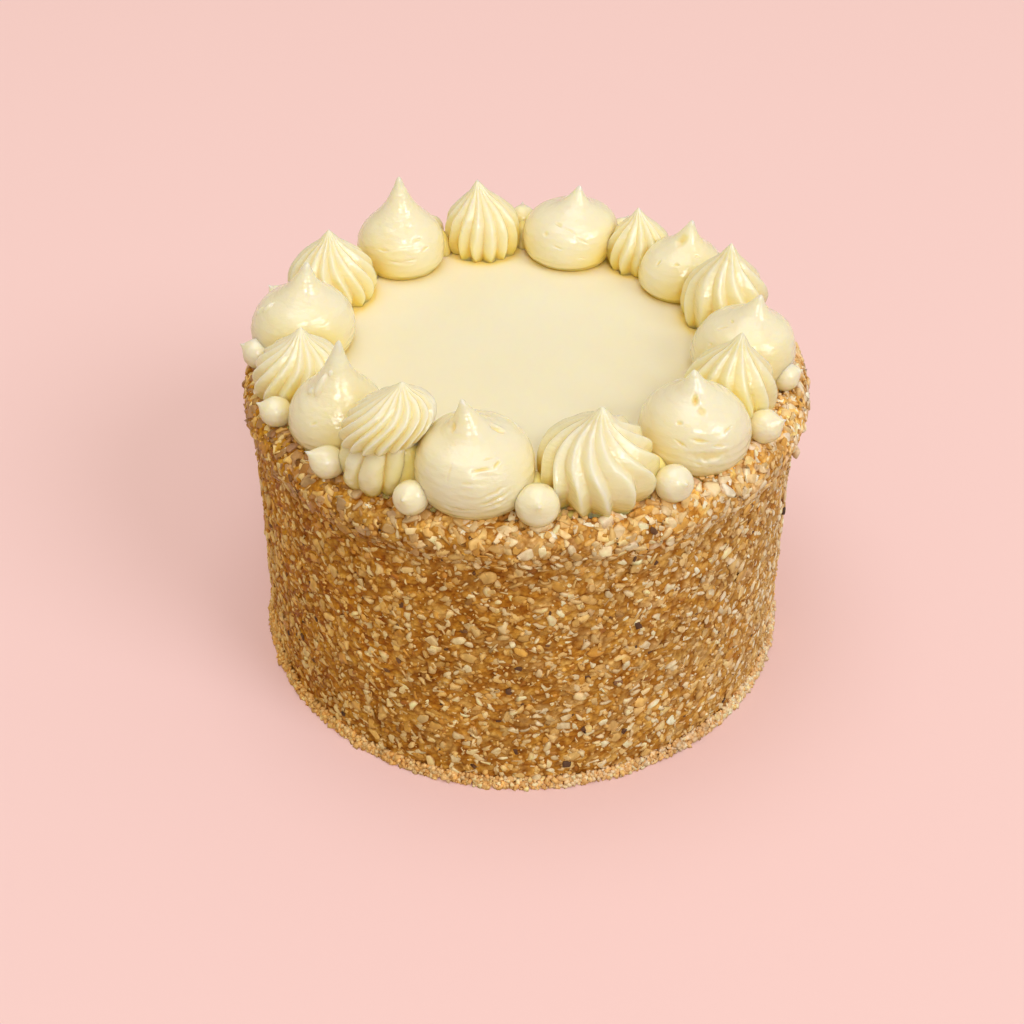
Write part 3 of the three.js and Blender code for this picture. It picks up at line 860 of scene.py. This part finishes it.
plainLook = {
    "steps": 24,
    "cuts": 6,
    "rings": 74,
    "body": 0.57,  # height of the round body, as a share of the width
    "bodies": {"plain_kiss_4": 0.51, "plain_kiss_5": 0.49},  # flatter ones
    "solidFoot": 0.8,  # half-width of the solid at its foot
    # half-widths, with shares of the body's height and then of the tip's
    "side": [(0.84, 0.0), (0.955, 0.15), (1.0, 0.36), (0.945, 0.62), (0.77, 0.86)],
    "tip": [(0.47, 0.05), (0.27, 0.34), (0.12, 0.7), (0.05, 0.92), (0.0, 1.0)],
    "spikes": {"plain_kiss_1": 0.92, "plain_kiss_2": 1.1, "plain_kiss_5": 0.9, "plain_kiss_6": 1.2,
               "plain_kiss_4": 1.1, "plain_kiss_7": 1.1, "plain_kiss_8": 1.18},  # broader or slimmer tips
    "uneven": 0.03,
    "unevenSize": 9,
    "unevenTop": 0.8,  # how far up the unevenness goes
    "ripple": 0.16,
    "rippleSize": 3.2,
    "rippleFlat": (1, 1, 2.2),  # drawn out sideways
    "coil": 0.11,  # ridges left by the round nozzle
    "coilStep": 2.1,
    "coilPatch": 7,  # size of the patches that have them, how sharp these are, and how far up they go
    "coilSharp": 2.5,
    "coilTop": 1.3,
    "seed": 10,
}

plainDents = {  # turn from outwards, height, half-length, half-width, depth, slant
    "plain_kiss_1": [(99, 17.4, 1.6, 0.65, 0.9, 90), (23, 14.2, 1.7, 0.38, 0.6, 2),
                     (42, 14.5, 1.0, 0.36, 0.5, 25), (37, 15.4, 1.0, 0.3, 0.3, 0),
                     (-46, 19.3, 1.2, 1.0, 0.5, 90), (30, 9.3, 3.3, 0.5, 0.3, 14),
                     (32, 7.5, 3.6, 0.5, 0.42, 14), (32, 5.9, 3.2, 0.5, 0.35, 12),
                     (7, 11.4, 1.2, 0.35, 0.25, 0), (-13, 13.0, 2.2, 0.35, 0.13, 85),
                     (0, 4.6, 4.2, 0.5, 0.3, 0)],
    "plain_kiss_2": [(-51, 17.7, 1.2, 0.7, 1.1, 90), (-38, 16.3, 1.0, 0.9, 0.5, -30),
                     (-73, 14.0, 0.7, 0.5, 0.5, 20), (-45, 11.3, 1.8, 0.4, 0.55, -10),
                     (-66, 10.2, 1.4, 0.4, 0.5, -22), (-25, 9.8, 1.2, 0.36, 0.4, -8),
                     (-8, 12.6, 1.2, 0.35, 0.35, 16), (-48, 5.4, 0.8, 0.35, 0.3, -18),
                     (-36, 4.5, 0.7, 0.3, 0.25, 0), (-36, 7.7, 4.5, 1.1, 0.5, 0)],
    "plain_kiss_3": [(-150, 14.8, 1.2, 0.36, 0.5, 60), (-150, 16.2, 0.6, 0.4, 0.4, 0),
                     (-143, 11.5, 0.7, 0.45, 0.4, 10), (175, 5.2, 4.5, 0.6, 0.5, 0)],
    "plain_kiss_4": [(179, 10.6, 0.8, 0.4, 0.5, 80), (-148, 11.5, 0.7, 0.45, 0.5, 10),
                     (-104, 12.8, 0.7, 0.5, 0.35, 0), (-165, 16.0, 1.7, 1.4, 0.6, 90)],
    "plain_kiss_5": [(-172, 12.5, 2.2, 0.36, 0.22, -28), (-156, 10.6, 2.0, 0.36, 0.2, -32),
                     (166, 13.3, 1.2, 0.6, 0.35, -20), (155, 11.0, 0.8, 0.7, 0.35, 0),
                     (176, 8.3, 1.4, 0.35, 0.3, -12), (-154, 5.1, 1.1, 0.3, 0.25, -5)],
    "plain_kiss_6": [(123, 9.9, 1.5, 0.4, 0.45, 0), (140, 7.1, 1.4, 0.35, 0.32, -12),
                     (161, 7.3, 1.4, 0.35, 0.3, 0), (-178, 9.4, 1.1, 0.35, 0.3, 15),
                     (174, 12.2, 1.5, 0.4, 0.3, 5)],
    "plain_kiss_7": [(31, 14.6, 1.7, 0.7, -0.7, 90), (20, 12.8, 1.4, 0.5, -0.5, 90),
                     (-60, 9.0, 1.6, 0.4, 0.3, 5)],
    "plain_kiss_8": [(11, 17.0, 2.6, 1.0, -1.1, 90), (-8, 15.0, 0.9, 0.6, -0.6, 90),
                     (29, 20.0, 0.7, 0.5, -0.5, 90), (28, 9.9, 0.8, 0.45, 0.4, 30)],
}


def bodyHeight(seat):
    return plainLook["bodies"].get(seat["node"], plainLook["body"]) * 2 * seat["wide"]


def plainLine(seat):
    wide, tall, body = seat["wide"], seat["tall"], bodyHeight(seat)
    spike = plainLook["spikes"].get(seat["node"], 1)
    side = [(r * wide, h * body) for r, h in plainLook["side"]]
    side += [(r * wide * spike, body + h * (tall - body)) for r, h in plainLook["tip"]]
    return smoothLine(side, plainLook["rings"])


def makePlainKiss(index, before, seat, after, paint):
    wide = seat["wide"]
    seed = plainLook["seed"] + index
    shell = spinShell(kissOutline(seat), plainLook["steps"], plainLook["cuts"])
    points, gold = dentShell(shell, plainDents[seat["node"]])
    climb = np.clip(points[:, 2] / bodyHeight(seat), 0, 1)
    swell = plainLook["uneven"] * noiseAt(points, plainLook["unevenSize"], seed)
    swell *= np.sin(climb * math.pi * plainLook["unevenTop"])
    flat = points * np.array(plainLook["rippleFlat"])
    fine = plainLook["ripple"] * noiseAt(flat, plainLook["rippleSize"], seed + 20)
    turn = np.arctan2(points[:, 1], points[:, 0])
    patchy = np.clip(noiseAt(points, plainLook["coilPatch"], seed + 40) * plainLook["coilSharp"], 0, 1)
    patchy *= np.clip(plainLook["coilTop"] - climb, 0, 1)
    fine += plainLook["coil"] * patchy * np.sin(2 * math.pi * points[:, 2] / plainLook["coilStep"] + turn)
    points[:, :2] *= (1 + swell + fine / wide)[:, None]
    placed, glow = settleKiss(points, before, seat, after)
    movePoints(shell, placed)
    # painted golden shade at the foot, where kisses meet and in the dents
    return finishPiece(f"plainKiss{index + 1}", shell, paint, [seat["node"]],
                       marks={"shadeGold": np.maximum(glow, gold)})


starLook = {
    "flutes": [18, 14, 12, 11, 13, 15, 16, 16],
    "stepsPerFlute": 2,
    "cuts": 6,
    "rings": 66,
    "solidFoot": 0.88,
    "side": [(0.94, 0.0), (1.0, 0.15), (0.98, 0.33), (0.85, 0.5), (0.58, 0.66), (0.27, 0.81), (0.115, 0.92),
             (0.0, 1.0)],  # half-widths, shares of the height
    "solidSkirt": 0.72,
    "skirtSide": [(0.8, 0.0), (0.9, 0.25), (0.9, 0.7), (0.78, 1.0)],  # half-widths, shares of the skirt
    "capSide": [(0.93, 0.04), (1.0, 0.14), (1.0, 0.32), (0.88, 0.52), (0.62, 0.69), (0.3, 0.83), (0.12, 0.93),
                (0.0, 1.0)],  # the upper star over such a skirt
    "shoulders": {"star_kiss_2": 0.08},  # how much fuller a kiss is half-way up
    "fade": [0.8, 0.8, 0.8, 0.75, 0.7, 0.5, 0.75, 0.8],  # share of the height where the flutes begin to fade
    "depth": 0.18,  # of the flutes, as a share of the radius
    "depthSpread": (0.85, 1.2),
    "tipFrom": 0.93,  # share of the height where the tip begins, and what is left of the depth there
    "tipDepth": 0.6,
    "scallop": 0.1,  # how much deeper the flutes are at the foot
    "footHeight": 0.22,  # share of the height that counts as the foot
    "uneven": 0.018,
    "unevenSize": 8,
    "ripple": 0.14,
    "skirtRipple": 0.4,
    "rippleSize": 2.6,
    "twists": [34, -42, -12, -26, 10, 8, -18, 30],  # degrees from foot to tip, in order round the cake
    "straight": [0.05, 0.26, 0.05, 0.1, 0.05, 0.05, 0.1, 0.1],  # share of the height before the twist
    "twistOver": 0.7,  # share of the height that the twist takes
    "crests": [-0.2, 0.22, 0.12, 0.16, 0.0, 0.0, 0.1, -0.14],  # how far a ridge stands to one side
    "crestSpread": (0.7, 1.2),
    "hollow": [1.1, 1.35, 1.5, 1.35, 1.0, 0.9, 1.3, 1.1],  # over 1 gives round hollows, under 1 round ridges
    "blunt": 0.13,  # how far the ridges are rounded off
    "golden": [0.8, 0.5, 0.8, 0.7, 0.7, 0.6, 0.7, 0.6],  # painted golden shade in the hollows: how strong
    "goldenNarrow": 1.3,  # how closely that keeps to the hollows, and how far it fades towards the tip
    "goldenFade": 0.6,
    "tuck": 0.05,  # how far the foot is drawn in
    "wavy": 0.16,  # how far the ridges wander
    "wavySize": 6,
    "wavyTall": (1, 1, 0.7),  # drawn out upwards
    "skirts": {"star_kiss_1": 11.4},  # height of the first star that this kiss began with
    "skirtFlutes": 9,
    "skirtRings": 24,
    "skirtDepth": 0.27,
    "tilts": {"star_kiss_1": 0.18},  # rise of the upper star along the ring
    "seed": 60,
}


def starLine(seat):
    wide, tall = seat["wide"], seat["tall"]
    skirt = starLook["skirts"].get(seat["node"], 0)
    side = [(r * wide, h * skirt) for r, h in starLook["skirtSide"]] if skirt else []
    top = starLook["capSide"] if skirt else starLook["side"]
    full = starLook["shoulders"].get(seat["node"], 0)
    side += [(r * wide * (1 + full * math.sin(math.pi * h)), skirt + h * (tall - skirt)) for r, h in top]
    return smoothLine(side, starLook["rings"] + (starLook["skirtRings"] if skirt else 0))


def makeStarKiss(index, before, seat, after, paint):
    wide, tall = seat["wide"], seat["tall"]
    skirt = starLook["skirts"].get(seat["node"], 0)
    upper = starLook["flutes"][index]
    shell = spinShell(kissOutline(seat), upper * starLook["stepsPerFlute"], starLook["cuts"])
    points = pointsOf(shell)
    seed = starLook["seed"] + index
    rng = np.random.default_rng(seed)
    lower = points[:, 2] < skirt
    flutes = np.where(lower, starLook["skirtFlutes"], upper)
    tallWaves = points * np.array(starLook["wavyTall"])
    wander = starLook["wavy"] * noiseAt(tallWaves, starLook["wavySize"], seed + 10)
    place = np.mod(np.arctan2(points[:, 1], points[:, 0]) * flutes / (2 * math.pi) + wander, flutes)
    which = np.clip(place.astype(int), 0, flutes - 1)
    across = place - which
    crest = 0.5 + starLook["crests"][index] * ~lower * rng.uniform(*starLook["crestSpread"], upper)[which]
    rise = np.where(across < crest, across / crest, (1 - across) / (1 - crest))
    climb = np.clip(points[:, 2] - skirt, 0, None) / (tall - skirt)
    rise = np.clip(1 - np.sqrt((1 - rise)**2 + starLook["blunt"]**2), 0, 1)
    ridge = np.where(lower, np.sqrt(1 - (2 * across - 1)**2), rise**starLook["hollow"][index])
    own = rng.uniform(*starLook["depthSpread"], upper)[which]
    fading = [0, starLook["fade"][index], starLook["tipFrom"], 1]
    depth = starLook["depth"] * own * np.interp(climb, fading, [1, 1, starLook["tipDepth"], 0])
    foot = np.clip(1 - points[:, 2] / (starLook["footHeight"] * tall), 0, 1)
    depth = np.where(lower, starLook["skirtDepth"] * own, depth * (1 + starLook["scallop"] * foot))
    points[:, :2] *= ((1 - depth * (1 - ridge)) * (1 - starLook["tuck"] * foot**2))[:, None]
    part = np.clip((climb - starLook["straight"][index]) / starLook["twistOver"], 0, 1)
    turn = math.radians(starLook["twists"][index]) * eased(part)
    turned = np.column_stack([points[:, 0] * np.cos(turn) - points[:, 1] * np.sin(turn),
                              points[:, 0] * np.sin(turn) + points[:, 1] * np.cos(turn), points[:, 2]])
    swell = starLook["uneven"] * noiseAt(turned, starLook["unevenSize"], seed + 20)
    fine = np.where(lower, starLook["skirtRipple"], starLook["ripple"])
    fine *= noiseAt(turned, starLook["rippleSize"], seed + 30)
    turned[:, :2] *= (1 + swell + fine / wide)[:, None]
    tilt = starLook["tilts"].get(seat["node"], 0)
    turned[:, 2] += tilt * turned[:, 1] * np.clip(turned[:, 2] / (skirt or tall), 0, 1)
    placed, glow = settleKiss(turned, before, seat, after)
    movePoints(shell, placed)
    # painted golden shade in the hollows, fading towards the tip, added to the shade at the foot and sides
    hollow = starLook["golden"][index] * (1 - ridge)**starLook["goldenNarrow"]
    shadeGold = np.clip(hollow * (1 - starLook["goldenFade"] * climb) + glow, 0, 1)
    return finishPiece(f"starKiss{index + 1}", shell, paint, [seat["node"]],
                       marks={"shadeGold": shadeGold})


pearlLook = {
    "steps": 16,
    "cuts": 2,
    "rings": 34,
    "side": [(0.0, -1.0), (0.6, -0.8), (0.98, -0.2), (0.86, 0.5)],
    "tip": [(0.46, 0.86), (0.17, 1.06), (0.0, 1.3)],
    "tipFrom": 0.5,  # height where a longer or shorter tip begins
    "tilt": 52,
    "tiltSpread": 10,
    "tallPerWide": 1.686,  # height of the solid for each millimetre of its half-width
    "sink": 0.3,
    "tipPerWide": 1.056,  # how far the tip stands out
    "uneven": 0.03,
    "unevenSize": 4,
    "usualTip": (1.05, 0),  # how long a tip is, and how far it is swung round
    "tips": {1: (0.9, 0), 2: (0.9, 0), 3: (0.92, 0), 4: (1.1, 10), 14: (1.0, -12), 15: (1.1, -30),
             16: (1.3, -40)},
    "neckBack": 8.0,  # the cream that fills the notch behind a pearl: how far back, and its half-sizes
    "neckSize": (5.4, 2.8, 6.2),
    "necks": {1: (-4, 5.8, 12.5), 16: (2, 4.6, 10.0)},  # turned aside in degrees, thicker and higher
    "neckSteps": (24, 18),
    # painted golden shade over the whole neck
    "neckGlow": 0.9,
    "backGold": 0.7,  # painted golden shade behind the pearl, and where that begins
    "backFrom": 0.1,
    "footGold": 0.5,  # painted golden shade at the foot, and how far up
    "footGlow": 1.2,
    "seed": 120,
}


def makePearl(index, paint):
    node = f"pearl_{index + 1}"
    points = solidPoints(node)
    wide = np.ptp(points[:, 2]) / pearlLook["tallPerWide"]
    tip = points[np.argmax(np.hypot(points[:, 0], points[:, 1]))]
    at = math.atan2(tip[1], tip[0])
    reach = math.hypot(tip[0], tip[1]) - pearlLook["tipPerWide"] * wide
    seed = pearlLook["seed"] + index
    rng = np.random.default_rng(seed)
    longer, swing = pearlLook["tips"].get(index + 1, pearlLook["usualTip"])
    start = pearlLook["tipFrom"]
    side = pearlLook["side"] + [(r, start + (h - start) * longer) for r, h in pearlLook["tip"]]
    line = smoothLine([(r * wide, h * wide) for r, h in side], pearlLook["rings"])
    shell = spinShell(line, pearlLook["steps"], pearlLook["cuts"])
    tilt = math.radians(pearlLook["tilt"] + rng.uniform(-pearlLook["tiltSpread"], pearlLook["tiltSpread"]))
    bmesh.ops.rotate(shell, verts=shell.verts, matrix=Matrix.Rotation(tilt, 3, "Y"))
    bmesh.ops.rotate(shell, verts=shell.verts, matrix=Matrix.Rotation(math.radians(swing), 3, "Z"))
    drop = pointsOf(shell)
    drop *= 1 + pearlLook["uneven"] * noiseAt(drop, pearlLook["unevenSize"], seed + 20)[:, None]
    floor = -wide * (1 - pearlLook["sink"])
    drop[:, 2] = np.maximum(drop[:, 2], floor) - floor
    movePoints(shell, drop)
    long, *usual = pearlLook["neckSize"]
    aside, thick, high = pearlLook["necks"].get(index + 1, (0, *usual))
    aside = math.radians(aside) * reach
    neck = Matrix.Translation((-pearlLook["neckBack"], aside, 0)) @ Matrix.Diagonal((long, thick, high, 1))
    sides, levels = pearlLook["neckSteps"]
    bmesh.ops.create_uvsphere(shell, u_segments=sides, v_segments=levels, radius=1, matrix=neck)
    bmesh.ops.translate(shell, verts=shell.verts, vec=(reach, 0, points[:, 2].min()))
    bmesh.ops.rotate(shell, verts=shell.verts, matrix=Matrix.Rotation(at, 3, "Z"))
    # painted golden shade behind the pearl, at its foot and on the neck
    shadeGold = pearlLook["backGold"] * np.clip(-drop[:, 0] / wide + pearlLook["backFrom"], 0, 1)
    shadeGold += pearlLook["footGold"] * np.exp(-drop[:, 2] / pearlLook["footGlow"])
    shadeGold = np.append(np.clip(shadeGold, 0, 1), np.full(len(shell.verts) - len(drop), pearlLook["neckGlow"]))
    return finishPiece(f"pearl{index + 1}", shell, paint, [node], marks={"shadeGold": shadeGold})


def readSeats():
    seats = []
    for index in range(len(starLook["flutes"])):
        for kind, look, line in (("star", starLook, starLine), ("plain", plainLook, plainLine)):
            node = f"{kind}_kiss_{index + 1}"
            skirted = node in starLook["skirts"]
            seat = readSeat(node, look["solidSkirt"] if skirted else look["solidFoot"])
            seat["line"] = line(seat)
            seats.append(seat)
    return seats


def makePiping(seats):
    paint = pipedCream("pipedCream", creamTints["glowDepth"])
    for order, seat in enumerate(seats):
        make = makePlainKiss if order % 2 else makeStarKiss
        make(order // 2, seats[order - 1], seat, seats[(order + 1) % len(seats)], paint)
    paint = pipedCream("pearlCream", creamTints["pearlDepth"])
    for index in range(len(seats)):  # one after each kiss
        makePearl(index, paint)
    print("piping:", len(seats), "kisses and as many pearls")
    layBits("creamSmears", creamSmears, pipedCream("thinCream", 0.0))


# Floor, light and camera

studio = {
    "floorSize": 8.0,
    "floorTint": (0.942, 0.664, 0.664),
    "skyTint": (0.47, 0.395, 0.285),
    "bounceTint": (0.405, 0.265, 0.114),  # warm light that comes back from below
    "horizon": (0.42, 0.52),  # where the one ends and the other begins, from straight down to straight up
    "lampTint": (0.94, 0.96, 1.0),
    "lamps": {
        "keySoftbox": {"place": (4.0, -3.0, 3.9), "size": 2.8, "power": 111.0},
        "frontSoftbox": {"place": (0.6, -4.4, 4.0), "size": 1.6, "power": 70.0},
        "topSoftbox": {"place": (-0.5, -0.1, 5.7), "size": 5.2, "power": 115.0},
    },
    "aim": (0.0, 0.0, 0.06),
}

viewpoint = {
    "place": (0.0, -0.30317, 0.28871),
    "tiltUp": 49.76,  # from straight down
    "turn": 0.56,
    "lens": 46.39,
    "sensor": 36,
    "nearest": 0.01,
}


def makeStudio():
    floor = bmesh.new()
    bmesh.ops.create_grid(floor, x_segments=1, y_segments=1, size=studio["floorSize"] / 2)
    mesh = bpy.data.meshes.new("floor")
    floor.to_mesh(mesh)
    floor.free()
    paint = Paint("paleFloor")
    paint.fix(Base_Color=(*studio["floorTint"], 1), Roughness=0.9, Specular_IOR_Level=0.1)
    mesh.materials.append(paint.material)
    sheet = bpy.data.objects.new("floor", mesh)
    bpy.context.scene.collection.objects.link(sheet)
    sheet.visible_diffuse = False  # the room's own bounce is used instead
    world = bpy.data.worlds.new("studioRoom")
    world.use_nodes = True
    nodes, links = world.node_tree.nodes, world.node_tree.links
    place = nodes.new("ShaderNodeTexCoord")
    parts = nodes.new("ShaderNodeSeparateXYZ")
    ramp = nodes.new("ShaderNodeValToRGB")
    tints = (studio["bounceTint"], studio["skyTint"])
    for stop, at, tint in zip(ramp.color_ramp.elements, studio["horizon"], tints):
        stop.position = at
        stop.color = (*tint, 1)
    rise = nodes.new("ShaderNodeMapRange")
    rise.inputs["From Min"].default_value = -1
    links.new(place.outputs["Generated"], parts.inputs["Vector"])
    links.new(parts.outputs["Z"], rise.inputs["Value"])
    links.new(rise.outputs["Result"], ramp.inputs["Fac"])
    links.new(ramp.outputs["Color"], nodes["Background"].inputs["Color"])
    bpy.context.scene.world = world
    for name, lamp in studio["lamps"].items():
        light = bpy.data.lights.new(name, "AREA")
        light.shape = "DISK"
        light.size = lamp["size"]
        light.energy = lamp["power"]
        light.color = studio["lampTint"]
        holder = bpy.data.objects.new(name, light)
        holder.location = lamp["place"]
        aim = Vector(studio["aim"]) - Vector(lamp["place"])
        holder.rotation_euler = aim.to_track_quat("-Z", "Y").to_euler()
        bpy.context.scene.collection.objects.link(holder)
    bpy.context.scene.view_settings.view_transform = "Standard"
    print("studio: floor and", len(studio["lamps"]), "lamps")


def makeCamera():
    lens = bpy.data.cameras.new("camera")
    lens.sensor_width = viewpoint["sensor"]
    lens.lens = viewpoint["lens"]
    lens.clip_start = viewpoint["nearest"]
    camera = bpy.data.objects.new("camera", lens)
    camera.location = viewpoint["place"]
    camera.rotation_euler = (math.radians(viewpoint["tiltUp"]), 0, math.radians(viewpoint["turn"]))
    bpy.context.scene.collection.objects.link(camera)
    bpy.context.scene.camera = camera


makeStudio()
makeCamera()
makeNutCoat()
seats = readSeats()
makeCreamTop(seats)
makePiping(seats)
